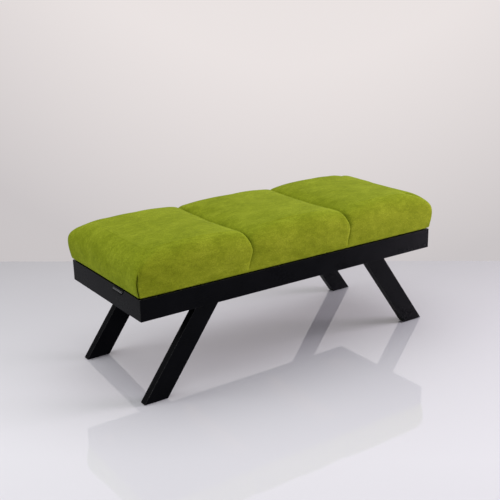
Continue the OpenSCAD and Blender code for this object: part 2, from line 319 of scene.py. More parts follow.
def label_finish():
    """Black ribbon with two plain pale lines woven in along its width."""
    finish = woven_finish("label_ribbon", (0.001, 0.001, 0.0014), (0.004, 0.004, 0.005), "YZ", ribs=1800)
    low, high = box_range("side_tag")
    above = finish.math("SUBTRACT", finish.parts(finish.place)["Z"], low[2])
    share = finish.math("DIVIDE", above, high[2] - low[2])
    lines = finish.ramp(share, [(0.40, 0), (0.42, 1), (0.50, 1), (0.52, 0),
                                (0.62, 0), (0.64, 1), (0.67, 1), (0.69, 0)])
    woven = finish.shader.inputs["Base Color"].links[0].from_socket
    threads = finish.ramp(finish.noise(1500), [(0.35, 0.10), (0.65, 0.30)])
    return finish.colour(finish.mix(lines, woven, threads)).material


foam = foam_finish()
wadding = wadding_finish()
tape = woven_finish("seam_tape", (0.006, 0.006, 0.006), (0.030, 0.030, 0.030), "YZ").material
spun_cloth = spun_finish()
label = label_finish()
print("finishes:", [m.name for m in (foam, wadding, tape, spun_cloth, label)])

# %% [markdown]
# ## Frame finishes
# The frame and legs carry a satin black lacquer. Sprayed paint is never glass-smooth: it has a faint
# orange peel, its gloss drifts over the surface, and it thins and rubs grey on sharp edges. That
# grey is also a painted highlight: it is strongest on edges that face up, where the overhead light
# would catch them. The shader's Bevel node compares the true surface with a softened one, so it
# finds those edges on any shape. Hidden rails and blocks are bare beech, and the seat board is
# plywood, whose cut edge shows its layers.

# %% Wood and lacquer
def edge_wear_and_highlight(finish, radius):
    """0 on flat faces, up to 1 along edges sharper than that radius."""
    softened = finish.node("ShaderNodeBevel", samples=4)
    softened.inputs["Radius"].default_value = radius
    true = finish.node("ShaderNodeNewGeometry")
    same = finish.node("ShaderNodeVectorMath", operation="DOT_PRODUCT")
    finish.feed(same.inputs[0], softened.outputs["Normal"])
    finish.feed(same.inputs[1], true.outputs["True Normal"])
    return finish.ramp(same.outputs["Value"], [(0.80, 1.0), (0.985, 0.0)])


# the same radius also bounds the painted highlight along the upper edges
WORN_AND_LIT_EDGE = 0.0018                # radius within which the lacquer is rubbed


def lacquer_finish():
    finish = Finish("black_lacquer", Specular_IOR_Level=0.26, IOR=1.16)
    peel = finish.noise(380, detail=2)
    drift = finish.noise(9, detail=4, roughness=0.6)
    scuffs = finish.noise(70, detail=5, roughness=0.7, place=finish.stretched((1, 1, 4)))
    wear_and_highlight = finish.math("MULTIPLY", edge_wear_and_highlight(finish, WORN_AND_LIT_EDGE),
                       finish.ramp(scuffs, [(0.40, 0.25), (0.62, 1.0)]))
    # painted highlight: the grey edges are strongest where they face up, where the overhead light would catch
    # them
    wear_and_highlight = finish.math("MULTIPLY", wear_and_highlight, finish.ramp(finish.facing()["Z"], [(0.10, 0.15), (0.60, 1.0)]))
    body = finish.ramp(drift, [(0.3, (0.0013, 0.0015, 0.0022)), (0.7, (0.0024, 0.0026, 0.0036))])
    finish.colour(finish.mix(wear_and_highlight, body, (0.20, 0.20, 0.20)))
    finish.rough(finish.ramp(finish.mix(0.4, drift, scuffs), [(0.35, 0.24), (0.65, 0.35)]))
    return finish.bump(scuffs, 0.00015, 0.25).bump(peel, 0.00012, 0.45).material


def beech_finish(name, along):
    """Planed beech whose grain runs along that axis, with its short dark ray flecks."""
    stretch = [1.0, 1.0, 1.0]
    stretch["XYZ".index(along)] = 0.06
    finish = Finish(name, Specular_IOR_Level=0.35)
    grain = finish.noise(60, detail=5, roughness=0.65, place=finish.stretched(stretch), distortion=0.8)
    flecks = finish.cells(480, place=finish.stretched([s * 1.5 for s in stretch]))
    base = finish.ramp(grain, [(0.30, (0.42, 0.245, 0.125)), (0.50, (0.56, 0.36, 0.20)),
                               (0.72, (0.66, 0.46, 0.28))])
    dark = finish.ramp(flecks, [(0.10, 0.72), (0.22, 1.0)])
    finish.colour(finish.mix(0.7, base, dark, "MULTIPLY"))
    finish.rough(finish.ramp(grain, [(0.3, 0.62), (0.7, 0.50)]))
    return finish.bump(grain, 0.0004, 0.4).material


def plywood_finish():
    """Birch plywood: sheets of grain on the faces, and light and dark plies round the edge."""
    low, high = box_range("seat_board")
    plies = 11
    finish = Finish("birch_plywood", Specular_IOR_Level=0.3)
    above = finish.math("SUBTRACT", finish.parts(finish.place)["Z"], low[2])
    ply = finish.math("MULTIPLY", above, plies / 2 / (high[2] - low[2]))
    layers = finish.ramp(finish.math("FRACT", ply), [(0.46, (0.62, 0.44, 0.26)), (0.52, (0.36, 0.22, 0.12)),
                                                    (0.96, (0.40, 0.25, 0.14)), (1.0, (0.62, 0.44, 0.26))])
    grain = finish.noise(34, detail=5, roughness=0.6, place=finish.stretched((0.07, 1, 1)), distortion=1.2)
    sheet = finish.ramp(grain, [(0.3, (0.56, 0.40, 0.24)), (0.7, (0.74, 0.58, 0.39))])
    flat = finish.ramp(finish.math("ABSOLUTE", finish.facing("True Normal")["Z"]), [(0.4, 0), (0.6, 1)])
    finish.colour(finish.mix(flat, layers, sheet)).rough(finish.ramp(grain, [(0.3, 0.70), (0.7, 0.55)]))
    return finish.bump(grain, 0.0003, 0.4).material


# %% Metal and plastic
def zinc_finish():
    finish = Finish("zinc_steel", Metallic=1.0)
    spangle = finish.cells(260)
    handled = finish.noise(60, detail=4, roughness=0.65)
    finish.colour(finish.ramp(spangle, [(0.1, (0.50, 0.51, 0.53)), (0.6, (0.66, 0.67, 0.66))]))
    finish.rough(finish.ramp(handled, [(0.35, 0.24), (0.65, 0.42)]))
    return finish.bump(handled, 0.0001, 0.3).material


def glide_finish():
    finish = Finish("moulded_glide", Specular_IOR_Level=0.4)
    texture = finish.noise(1400, detail=2, roughness=0.6)
    scraped = finish.noise(110, detail=5, roughness=0.7)
    finish.colour(finish.ramp(scraped, [(0.4, (0.012, 0.012, 0.013)), (0.7, (0.035, 0.034, 0.033))]))
    finish.rough(finish.ramp(scraped, [(0.35, 0.50), (0.65, 0.68)]))
    return finish.bump(texture, 0.00012, 0.6).material


# %% [markdown]
# ## Dressing the CAD parts
# The rigid parts keep their exact shapes. Two things are added to them: a finish, and a small bevel
# where a real edge would be eased with sandpaper, because a perfectly sharp edge catches no light.

# %% Finishes on the frame
SHARP = math.radians(40)          # edges that turn more than this are eased


def dress(material, names, eased=0.0):
    for name in names:
        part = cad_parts[name]
        part.data.materials.clear()
        part.data.materials.append(material)
        if eased:
            bevel = part.modifiers.new("eased_edges", "BEVEL")
            bevel.width = eased
            bevel.segments = 3
            bevel.limit_method = "ANGLE"
            bevel.angle_limit = SHARP
            bevel.harden_normals = True
    print(material.name, "on", len(names), "parts")


SIDES_OF = [f"{depth}_{side}" for depth in ("front", "back") for side in ("left", "right")]
lacquer = lacquer_finish()
dress(lacquer, ["front_rail", "back_rail", "left_end_rail", "right_end_rail"], eased=0.0014)
dress(lacquer, [f"{place}_leg" for place in SIDES_OF], eased=0.0015)
dress(beech_finish("beech_across", "Y"), ["left_cross_rail", "right_cross_rail"], eased=0.0008)
dress(beech_finish("beech_dowel", "Y"), ["cross_rail_dowels"])
dress(beech_finish("beech_blocks", "X"), [f"{place}_corner_block" for place in SIDES_OF], eased=0.0008)
dress(plywood_finish(), ["seat_board"])
dress(zinc_finish(), ["corner_block_screws", "leg_bolts", "leg_washers", "leg_inserts", "glide_nails",
                      "seat_screws", "staples"])
dress(glide_finish(), [f"{place}_glide" for place in SIDES_OF], eased=0.0004)

# %% [markdown]
# ## The pad's outer form
# Under the cover lie foam blocks, so the pad is a box with generous rounds: a wide roll along the
# top, corners that are nearly square at the bottom and open out as they rise, and a tuck above the
# frame. It could be carved from a subdivided cube, but then the seams would fall between its edges.
# Here a grid is laid on a box, and each point is moved onto the rounded form. Grid lines crowd
# together at the seams and corners, where the cloth will need them. The same grid at a depth below
# the cover gives the wadding and the foam, so that the layers lie on each other without touching.

# %% Sizes of the pad
cover_high = box_range("left_cover")[1]
right_low, right_high = box_range("right_cover")
board_high = box_range("seat_board")[1]
rail_high = box_range("front_rail")[1]
HALF_L = right_high[0]
HALF_W = right_high[1]
SEAMS = (cover_high[0], right_low[0])
SECTIONS = ("left", "centre", "right")
FRAME_TOP = rail_high[2]
BOARD_TOP = board_high[2]
CROWN = 0.009                     # how far each section domes up
TOP = right_high[2] - CROWN       # height of the top where no section domes
ROLL_R = 0.057                    # round between the top and the sides
ROLL_Z = TOP - ROLL_R
FLANGE = 0.046                    # cloth turned in under the board
CLEAR = 0.0009                    # room for the tag between the cloth and the frame
SIDE_PULL = 0.0055                # how far the sides are drawn in at the tuck
CORNER_RADII = (0.006, 0.018, 0.042)   # plan radii of an upright corner: at the tuck, the roll and the top
PULL_REACH = 0.06                 # how far from a corner the cloth gathered there bends the outline
STEP = 0.008                      # spacing of the grid
# the cloth's line round the pad's lower edge, as (inset, height above the frame)
TUCK = ((0.0170, 0), (0.0146, 0.0003), (0.0133, 0.0016), (0.0127, 0.0029), (0.0118, 0.0038),
        (0.0102, 0.0043), (0.0082, 0.0048), (0.0063, 0.0065), (SIDE_PULL, 0.0105))
# how far the pad stands out at each corner, along X and Y, and the heights between which that fades
CORNER_PULL = {
    (-1, -1): ((0.0045, -0.0045), (FRAME_TOP + 0.040, ROLL_Z + 0.012)),
    (-1, 1): ((0.0050, 0.0050), (ROLL_Z + 0.010, TOP)),
    (1, -1): ((0.0030, 0.0030), (ROLL_Z + 0.010, TOP)),
    (1, 1): ((0.0025, 0.0025), (ROLL_Z + 0.010, TOP)),
}
BOARD_GAP = HALF_L - board_high[0] - 0.0006    # what lies beside the board stays this near the outline
print("pad:", round(2 * HALF_L, 3), "x", round(2 * HALF_W, 3), "seams at", [round(s, 3) for s in SEAMS])


# %% Grid lines
def lines_between(marks, step):
    """Sorted grid positions that hold every mark, with even steps between marks that are far apart."""
    marks = sorted(set(round(m, 6) for m in marks))
    lines = [marks[0]]
    for start, end in zip(marks, marks[1:]):
        count = max(1, round((end - start) / step))
        lines += [start + (end - start) * i / count for i in range(1, count + 1)]
    return np.array(lines)


CREASE_STEPS = (0, 0.0014, 0.003, 0.005, 0.008)
SEAM_STEPS = (0, 0.0012, 0.003, 0.006, 0.010, 0.015, 0.021)
FLANGE_ROWS = 5
SIDE_LOW = FRAME_TOP + CLEAR + TUCK[-1][1]
SIDE_Z = np.linspace(BOARD_TOP + 0.0006, ROLL_Z, round((ROLL_Z - BOARD_TOP) / STEP))
ROLL_ROWS = 10
TUCK_ROW = FLANGE_ROWS + len(TUCK) - 1      # the first row that stands clear of the tuck


def lines_along(half, seams=()):
    edge = [half - d for d in CREASE_STEPS]
    marks = edge + [-m for m in edge]
    marks += [s + side * d for s in seams for d in SEAM_STEPS for side in (-1, 1)]
    return lines_between(marks, STEP)


X_LINES = lines_along(HALF_L, SEAMS)
Y_LINES = lines_along(HALF_W)
# the box's outline, anticlockwise from the front left corner, each corner once
OUTLINE = np.array(
    [(x, -HALF_W) for x in X_LINES[:-1]]
    + [(HALF_L, y) for y in Y_LINES[:-1]]
    + [(x, HALF_W) for x in X_LINES[:0:-1]]
    + [(-HALF_L, y) for y in Y_LINES[:0:-1]]
)
INSIDE = np.array([(x, y) for x in X_LINES[1:-1] for y in Y_LINES[1:-1]])
print("grid:", len(X_LINES), "x", len(Y_LINES), "lines")


# %% From box to pad
def smooth(value, low, high):
    t = np.clip((value - low) / (high - low), 0, 1)
    return t * t * (3 - 2 * t)


def squeeze(q, half, new_half, reach=0.15):
    """Positions along one side, pressed together near its ends so that it ends at new_half."""
    start = half - reach
    pressed = start + (np.abs(q) - start) * (new_half - start) / reach
    return np.where(np.abs(q) > start, np.sign(q) * pressed, q)


def outline(xy, inset, radius):
    """Points of a rectangle, moved into one that is smaller by inset and has round corners."""
    half = np.atleast_2d(np.array((HALF_L, HALF_W)) - inset)
    q = np.stack([squeeze(xy[:, 0], HALF_L, half[:, 0]), squeeze(xy[:, 1], HALF_W, half[:, 1])], axis=1)
    near = np.clip(q, radius - half, half - radius)
    away = q - near
    length = np.maximum(np.linalg.norm(away, axis=1), 1e-9)
    return near + away * (np.abs(away).max(axis=1) / length)[:, None]


def side_rows(depth):
    """A layer's line from its edge under the board up to the top, as (inset, height)."""
    base = FRAME_TOP + CLEAR
    rows = [(inset, base) for inset in np.linspace(FLANGE, TUCK[0][0], FLANGE_ROWS, endpoint=False)]
    rows += [(min(inset + depth, max(inset, BOARD_GAP)), base + height) for inset, height in TUCK]
    for z in SIDE_Z:
        inset = depth + SIDE_PULL * ((ROLL_Z - z) / (ROLL_Z - SIDE_LOW)) ** 1.2
        rows.append((inset if z > BOARD_TOP + 0.001 else min(inset, BOARD_GAP), z))
    radius = ROLL_R - depth
    for turn in np.linspace(0, math.pi / 2, ROLL_ROWS + 1)[1:]:
        rows.append((depth + radius * (1 - math.cos(turn)), ROLL_Z + radius * math.sin(turn)))
    return rows


def corner_pull(xy, z):
    """How far the outline stands out near each corner, where the cloth is gathered."""
    out = np.zeros_like(xy)
    for corner, (pull, fade) in CORNER_PULL.items():
        away = np.abs(xy - np.array(corner) * (HALF_L, HALF_W)).sum(axis=1)
        height = smooth(z, FRAME_TOP - 0.03, ROLL_Z) * (1 - smooth(z, *fade))
        out += np.outer(height / (1 + (away / PULL_REACH) ** 2), pull)
    return out


def ring(inset, z, depth):
    """The pad's outline at one height. Its corners are tight at the tuck and open out as they rise."""
    low, middle, high = CORNER_RADII
    rise = np.clip((z - FRAME_TOP) / (ROLL_Z - FRAME_TOP), 0, 1)
    over = np.clip((z - ROLL_Z) / (ROLL_R - depth), 0, 1)
    radius = max(low + (middle - low) * rise ** 2 + (high - middle) * over ** 2 - depth, 0.002)
    xy = outline(OUTLINE, inset - corner_pull(OUTLINE, z), radius)
    return np.column_stack([xy, np.full(len(xy), z)])


def pad_points(depth):
    rows = [ring(inset, z, depth) for inset, z in side_rows(depth)]
    inset, z = side_rows(depth)[-1]
    xy = outline(INSIDE, inset, CORNER_RADII[2] - depth)
    return np.concatenate([*rows, np.column_stack([xy, np.full(len(xy), z)])])


# %% How the grid joins up
AROUND = len(OUTLINE)
RINGS = len(side_rows(0))
PAD_XY = np.concatenate([np.tile(OUTLINE, (RINGS, 1)), INSIDE])


def side_faces():
    here = np.arange(AROUND)
    along = np.roll(here, -1)
    return [quad for r in range(RINGS - 1) for quad in
            np.stack([here, along, along + AROUND, here + AROUND], axis=1) + r * AROUND]


def top_faces():
    nx, ny = len(X_LINES), len(Y_LINES)
    border = (RINGS - 1) * AROUND + np.arange(AROUND)
    index = np.empty((nx, ny), int)
    index[1:-1, 1:-1] = RINGS * AROUND + np.arange(len(INSIDE)).reshape(nx - 2, ny - 2)
    index[:, 0] = border[:nx]
    index[-1, :] = border[nx - 1:nx + ny - 1]
    index[:, -1] = border[nx + ny - 2:2 * nx + ny - 2][::-1]
    index[0, 1:] = border[2 * nx + ny - 3:][::-1]
    return [(index[i, j], index[i + 1, j], index[i + 1, j + 1], index[i, j + 1])
            for i in range(nx - 1) for j in range(ny - 1)]


PAD_FACES = np.array(side_faces() + [np.array(f) for f in top_faces()])
FACE_ROW = np.minimum(np.arange(len(PAD_FACES)) // AROUND, RINGS - 1)
print("pad grid:", len(PAD_XY), "points,", len(PAD_FACES), "faces, tuck row", TUCK_ROW)

# %% [markdown]
# ## Domes, seams and their drift
# A sewn section domes in the middle, because its edges are held down by the seams and the foam
# pushes back between them. The seams are pulled well into the top and only lightly into the front,
# and no seam runs quite straight over the edge. These are smooth rules of place, so they are
# written as functions and added to the grid.

# %% Shape of the sections
SEAM_R = 0.015                    # round of a section's edge beside a seam
SEAM_PULL = 0.004                 # wider dip around each seam
SEAM_REACH = 0.030
SIDE_SEAM = 0.18                  # share of the seam's depth that is left on the sides
# sideways drift of each seam at the back, at the front edge of the top and at the bottom of the front
SEAM_DRIFT = ((0.000, 0.008, -0.011), (0.004, 0.015, 0.004))
DRIFT_REACH = 0.07


def section_of(x):
    """0, 1 or 2 for the left, centre and right section."""
    return np.searchsorted(np.array(SEAMS), x)


def dome(verts):
    end = HALF_L - 0.9 * ROLL_R
    ends = np.array([-end, *SEAMS, end])
    which = np.clip(section_of(PAD_XY[:, 0]), 0, 2)
    middle = (ends[which] + ends[which + 1]) / 2
    half = (ends[which + 1] - ends[which]) / 2
    along = np.clip((verts[:, 0] - middle) / half, -1, 1)
    across = np.clip(verts[:, 1] / HALF_W, -1, 1)
    return CROWN * (1 - along ** 2) ** 1.2 * (0.66 + 0.34 * (1 - across ** 2) ** 0.6)


def seam_dip(distance, depth):
    radius = SEAM_R - depth
    near = np.clip(radius - distance, 0, radius)
    return radius - np.sqrt(radius ** 2 - near ** 2) + SEAM_PULL * np.exp(-distance / SEAM_REACH)


def seam_shift(verts, drift):
    """How far a seam has drifted along X at the height and depth of each point."""
    back, edge, low = drift
    forward = np.clip(-verts[:, 1] / HALF_W, 0, 1) ** 1.5
    down = np.clip((ROLL_Z - verts[:, 2]) / (ROLL_Z - FRAME_TOP), 0, 1)
    return back + (edge - back) * forward + np.where(verts[:, 1] < 0, (low - edge) * down, 0)


def normals_of(verts):
    mesh = bpy.data.meshes.new("form")
    mesh.from_pydata(verts.tolist(), [], PAD_FACES.tolist())
    normals = np.array([v.normal for v in mesh.vertices])
    bpy.data.meshes.remove(mesh)
    return normals


def shaped(depth):
    """The pad's form at one depth below the cover, with its domes and seams."""
    verts = pad_points(depth)
    normals = normals_of(verts)
    up = np.clip((verts[:, 2] - ROLL_Z) / (ROLL_R - depth), 0, 1)
    above_board = smooth(verts[:, 2], FRAME_TOP + 0.004, FRAME_TOP + 0.03)
    made = verts.copy()
    made[:, 2] += dome(verts) * up
    for seam, drift in zip(SEAMS, SEAM_DRIFT):
        distance = np.abs(PAD_XY[:, 0] - seam)
        dip = seam_dip(distance, depth) * (SIDE_SEAM + (1 - SIDE_SEAM) * smooth(up, 0, 1)) * above_board
        made -= normals * dip[:, None]
        made[:, 0] += seam_shift(verts, drift) * np.exp(-(distance / DRIFT_REACH) ** 2)
    return made


pad_form = shaped(0)
print("highest point of the form:", round(pad_form[:, 2].max(), 4))

# %% [markdown]
# ## Letting the cloth settle
# The smooth form is still too perfect. A cloth simulation lets the cover bulge between the places
# where it is held: the edge that is stapled under the board, and the seams. Air pressure stands in
# for the foam. Gravity is off, because the cover is stretched tight and hardly feels it. Afterwards
# no point may have moved further than a cap, so the pad keeps its size, and the small buckles that
# the pressure makes are smoothed out.

# %% Cloth simulation
SETTLE_FRAMES = 24
SETTLE_CAP = 0.006


def smoothed(moved, held, rounds=14):
    """The same movement without its small buckles, which foam behind the cloth wouldn't allow."""
    a, b = np.concatenate([PAD_FACES[:, [k, (k + 1) % 4]] for k in range(4)]).T
    count = np.bincount(a, minlength=len(moved)) + np.bincount(b, minlength=len(moved))
    for _ in range(rounds):
        total = np.zeros_like(moved)
        np.add.at(total, a, moved[b])
        np.add.at(total, b, moved[a])
        moved = np.where(held[:, None], moved, (moved + total / count[:, None]) / 2)
    return moved


def settled(verts, held, pressure):
    mesh = bpy.data.meshes.new("settling")
    mesh.from_pydata(verts.tolist(), [], PAD_FACES.tolist())
    cloth = bpy.data.objects.new("settling", mesh)
    scene.collection.objects.link(cloth)
    cloth.vertex_groups.new(name="held").add(np.flatnonzero(held).tolist(), 1, "REPLACE")
    modifier = cloth.modifiers.new("cloth", "CLOTH")
    settings = modifier.settings
    settings.quality = 6
    settings.mass = 0.35
    settings.tension_stiffness = settings.compression_stiffness = 25
    settings.shear_stiffness = 8
    settings.bending_stiffness = 2.0
    settings.air_damping = 4
    settings.use_pressure = True
    settings.uniform_pressure_force = pressure
    settings.vertex_group_mass = "held"
    settings.shrink_min = -0.012
    settings.effector_weights.gravity = 0
    modifier.collision_settings.use_collision = False
    modifier.point_cache.frame_end = SETTLE_FRAMES
    for step in range(1, SETTLE_FRAMES + 1):
        scene.frame_set(step)
    result = cloth.evaluated_get(bpy.context.evaluated_depsgraph_get()).data
    moved = np.array([v.co for v in result.vertices]) - verts
    bpy.data.objects.remove(cloth)
    scene.frame_set(1)
    length = np.linalg.norm(moved, axis=1, keepdims=True)
    print("settled; furthest move", round(float(length.max()), 4), "mean", round(float(length.mean()), 4))
    return smoothed(moved * (SETTLE_CAP * np.tanh(length / SETTLE_CAP) / np.maximum(length, 1e-9)), held)


on_seam = np.isclose(PAD_XY[:, 0], SEAMS[0]) | np.isclose(PAD_XY[:, 0], SEAMS[1])
stapled = pad_form[:, 2] < FRAME_TOP + 0.009
settle_move = np.zeros_like(pad_form)
settle_move = settled(pad_form, on_seam | stapled, pressure=2.2)

# %% [markdown]
# ## Hand-made unevenness
# No upholsterer pulls a cover equally hard all round. Slow swells of a millimetre, and small tucks
# where the cloth is gathered beside a seam, keep the pad from looking turned on a lathe. They are
# added along the form's own normals, from noise whose pattern is the same each time.

# %% Swells and puckers
SWELL = 0.0010
PUCKER = 0.0007


def noise_at(points, size, seed):
    shift = Vector((seed, 2.3 * seed, 5.1))
    return np.array([noise.noise(Vector(p) / size + shift) for p in points])


def unevenness(points):
    swells = SWELL * noise_at(points, 0.11, 1) + 0.4 * SWELL * noise_at(points, 0.045, 2)
    distance = np.abs(PAD_XY[:, :1] - np.array(SEAMS)).min(axis=1)
    along_seam = points * np.array((0.2, 1, 1))
    beside = np.exp(-((distance - 0.007) / 0.006) ** 2)
    puckers = PUCKER * noise_at(along_seam, 0.011, 3) * beside
    free = smooth(points[:, 2], FRAME_TOP + 0.004, FRAME_TOP + 0.012) * np.clip(distance / 0.006, 0, 1)
    return normals_of(points) * ((swells + puckers) * free)[:, None]


settle_move += unevenness(pad_form)
print("highest point of the cloth:", round((pad_form + settle_move)[:, 2].max(), 4))

# %% [markdown]
# ## Corner pleats
# At each corner of the bench there is more cloth than the corner needs. The upholsterer folds the
# spare cloth into one upright pleat, which shows as a dark slit from the tuck up to the roll. It is
# cut into the settled grid along the corner line, whose neighbours form the two lips.

# %% Pleats
PLEAT_DEPTH = 0.011
PLEAT_TOP = FRAME_TOP + 0.080
PLEAT_LIP = 0.0013
ON_SIDES = np.arange(len(PAD_XY)) < AROUND * RINGS


def pleated(verts, share=1.3, width=0.0021):
    made = verts.copy()
    strength = smooth(-verts[:, 2], -PLEAT_TOP, -PLEAT_TOP + 0.012)
    strength = share * strength * smooth(verts[:, 2], FRAME_TOP + 0.004, FRAME_TOP + 0.010)
    for corner in [np.array((sx, sy)) for sx in (-1, 1) for sy in (-1, 1)]:
        away = np.abs(PAD_XY - corner * (HALF_L, HALF_W)).max(axis=1)
        slit = PLEAT_DEPTH * np.exp(-(away / width) ** 2)
        lip = PLEAT_LIP * np.exp(-((away - 0.0035) / 0.0025) ** 2)
        fold = np.where(ON_SIDES & (away < 0.012), (slit - lip) * strength, 0)
        made[:, :2] -= fold[:, None] * corner / math.sqrt(2)
    return made


def layer(section, depth):
    """Grid points of one layer of one section. A deeper layer ends further from the seam."""
    points = shaped(depth) + settle_move
    for side, seam in enumerate(SEAMS):
        if section in (side, side + 1):
            away = -1 if section == side else 1
            distance = np.abs(PAD_XY[:, 0] - seam)
            points[:, 0] += away * depth * (1 - smooth(distance, 0, 0.03))
    return points


def section_faces(section, first_row=0):
    """The grid points that a section uses from one row up, and its faces in terms of those."""
    centre_x = PAD_XY[PAD_FACES, 0].mean(axis=1)
    faces = PAD_FACES[(section_of(centre_x) == section) & (FACE_ROW >= first_row)]
    used, flat = np.unique(faces, return_inverse=True)
    return used, flat.reshape(-1, 4)


print("pleats:", 4, "sections:", [len(section_faces(s)[1]) for s in range(3)])

# %% [markdown]
# ## Three covers
# The grid is cut into three covers at the seams. Real cloth doesn't stop at a seam: it turns in and
# runs down beside its neighbour as a seam allowance. So each cover gets a wall of cloth there, and
# the whole sheet is then given its thickness. That leaves a crisp, deep line where two covers meet,
# which a groove in one closed skin can't give.

# %% Covers
CLOTH = 0.0016
ALLOWANCE = (0.003, 0.009, 0.018, 0.030)          # how far down the rows of the wall of cloth lie
ALLOWANCE_GAP = (0.0003, 0.0006, 0.0010, 0.0010)  # and how far they stand off the seam


def seam_loop(seam):
    """The grid points along one seam, from the front edge under the board over the top to the back."""
    column = np.isclose(PAD_XY[:, 0], seam)
    front = np.flatnonzero(column & ON_SIDES & (PAD_XY[:, 1] < 0))
    back = np.flatnonzero(column & ON_SIDES & (PAD_XY[:, 1] > 0))[::-1]
    top = np.flatnonzero(column & ~ON_SIDES)
    return [*front, *top[np.argsort(PAD_XY[top, 1])], *back]


def into_pad(point):
    """Where a seam allowance goes from a point of the seam, and how far before it meets the board."""
    core = np.array((HALF_W - ROLL_R, ROLL_Z))
    away = point[1:] - np.clip(point[1:], -core, core)
    if point[2] < FRAME_TOP + 0.006:
        return np.array((0, 0, 1)), 0.0012
    room = 0.0016 if point[2] < BOARD_TOP + 0.002 else ALLOWANCE[-1]
    return np.array((0, *-away)) / max(np.linalg.norm(away), 1e-9), room


def cover_mesh(section):
    skin = pleated(layer(section, 0))
    used, faces = section_faces(section)
    place = {old: new for new, old in enumerate(used)}
    verts, faces = list(skin[used]), [tuple(f) for f in faces]
    for side, seam in enumerate(SEAMS):
        if section not in (side, side + 1):
            continue
        own = -1 if section == side else 1
        loop = seam_loop(seam)
        row = [place[i] for i in loop]
        for depth, gap in zip(ALLOWANCE, ALLOWANCE_GAP):
            below = []
            for i in loop:
                inward, room = into_pad(skin[i])
                below.append(len(verts))
                verts.append(skin[i] + inward * room * depth / ALLOWANCE[-1] + np.array((own * gap, 0, 0)))
            for k in range(len(loop) - 1):
                quad = (row[k], row[k + 1], below[k + 1], below[k])
                faces.append(quad if own < 0 else quad[::-1])
            row = below
    return verts, faces


for number, section in enumerate(SECTIONS):
    verts, faces = cover_mesh(number)
    cover = new_piece(section + "_seat_cover", verts, faces, velvet, [section + "_cover"])
    finer = cover.modifiers.new("finer", "SUBSURF")
    finer.levels = finer.render_levels = 1
    thicken(cover, "cloth", CLOTH, offset=-1)
    print(cover.name, len(verts), "points")

# %% [markdown]
# ## Foam and wadding
# Each section holds a block of foam, wrapped in a layer of polyester wadding that softens its edges.
# Neither shows while the covers are on, but the bench comes apart in these pieces. A closed shell
# between two depths of the same grid makes the wadding, and a closed block at the deepest one makes
# the foam, so both follow the settled cover.

# %% Foam and wadding
WADDING_DEPTH = 0.0024
FOAM_DEPTH = 0.0106
NOTCH = 0.0036                    # wadding and foam are trimmed wider than the pleat they hold
FOAM_ROW = next(i for i, (_, z) in enumerate(side_rows(FOAM_DEPTH)) if z > BOARD_TOP + 0.002)


def open_edges(faces):
    """Edges that only one face has, in that face's direction."""
    edges = {(a, b) for f in faces for a, b in zip(f, np.roll(f, -1))}
    return [(a, b) for a, b in edges if (b, a) not in edges]


def wadding_mesh(section):
    outer = pleated(layer(section, WADDING_DEPTH), 1.0, NOTCH)
    inner = pleated(layer(section, FOAM_DEPTH - 0.0004), 0.6, NOTCH)
    used, faces = section_faces(section, TUCK_ROW)
    count = len(used)
    rim = [(b, a, a + count, b + count) for a, b in sorted(open_edges(faces))]
    return np.concatenate([outer[used], inner[used]]), [*faces, *(faces[:, ::-1] + count), *rim]


def foam_mesh(section):
    points = pleated(layer(section, FOAM_DEPTH), 0.6, NOTCH)
    points[:, 2] = np.maximum(points[:, 2], BOARD_TOP + 0.0005)
    points[FOAM_ROW * AROUND:(FOAM_ROW + 1) * AROUND, 2] = BOARD_TOP + 0.0005
    used, faces = section_faces(section, FOAM_ROW)
    place = {old: new for new, old in enumerate(used)}
    bottom = [i for i in used if FOAM_ROW * AROUND <= i < (FOAM_ROW + 1) * AROUND]
    caps = [[place[i] for i in bottom[::-1]]]
    for side, seam in enumerate(SEAMS):
        if section in (side, side + 1):
            loop = [place[i] for i in seam_loop(seam) if i in place]
            caps.append(loop if section == side + 1 else loop[::-1])
    return points[used], [*faces, *caps]


for number, section in enumerate(SECTIONS):
    verts, faces = wadding_mesh(number)
    wrap = new_piece(section + "_wadding_wrap", verts, faces, wadding, [section + "_wadding"])
    verts, faces = foam_mesh(number)
    block = new_piece(section + "_foam_block", verts, faces, foam, [section + "_foam"])
    print(wrap.name, "and", block.name)

# %% [markdown]
# ## Seam ties
# Under each seam a woven tape is stapled to the board and sewn to the seam allowances. It is what
# pulls the seam down between the domes. A tape is a thin sheet, so it is a row of upright strips
# with a little slack in them, given the tape's thickness.

# %% Seam ties
TIE_STEP = 0.0065
TIE_T = 0.0009


def tie_mesh(node, drift):
    low, high = box_range(node)
    ys = np.linspace(low[1], high[1], round((high[1] - low[1]) / TIE_STEP))
    zs = np.linspace(low[2], high[2], 13)
    verts = []
    for z in zs:
        rise = (z - low[2]) / (high[2] - low[2])
        for y in ys:
            back, edge, _ = drift
            sewn_x = back + (edge - back) * max(-y / HALF_W, 0) ** 1.5
            slack = 0.0008 * math.sin(9 * y / high[1] + 2) * math.sin(math.pi * rise)
            verts.append(((low[0] + high[0]) / 2 + sewn_x * smooth(rise, 0, 0.8) + slack, y, z))
    return verts, grid_faces(len(zs), len(ys)), (high[1] - low[1], high[2] - low[2])


for side, drift in zip(("left", "right"), SEAM_DRIFT):
    node = side + "_seam_tie"
    verts, faces, flat = tie_mesh(node, drift)
    tie = new_piece(side + "_seam_tape", verts, faces, tape, [node])
    thicken(tie, "weave", TIE_T)
    print(tie.name, [round(s, 3) for s in flat])

# %% [markdown]
# ## Dust cover
# A light, black, spun cloth closes the seat from below. It is stapled round its edge and lies on the
# cross rails, so it sags only a few millimetres in each bay and puckers between the staples.
# A simulation would give the same shallow sag, so the sag is written directly.

# %% Dust cover
dust_low, dust_high = box_range("dust_cover")
cross_low, cross_high = box_range("right_cross_rail")
block_low = box_range("front_right_corner_block")[0]
BAYS = ((-block_low[0], -cross_high[0]), (-cross_low[0], cross_low[0]), (cross_high[0], block_low[0]))
SAG = 0.0045
DUST_T = 0.0005


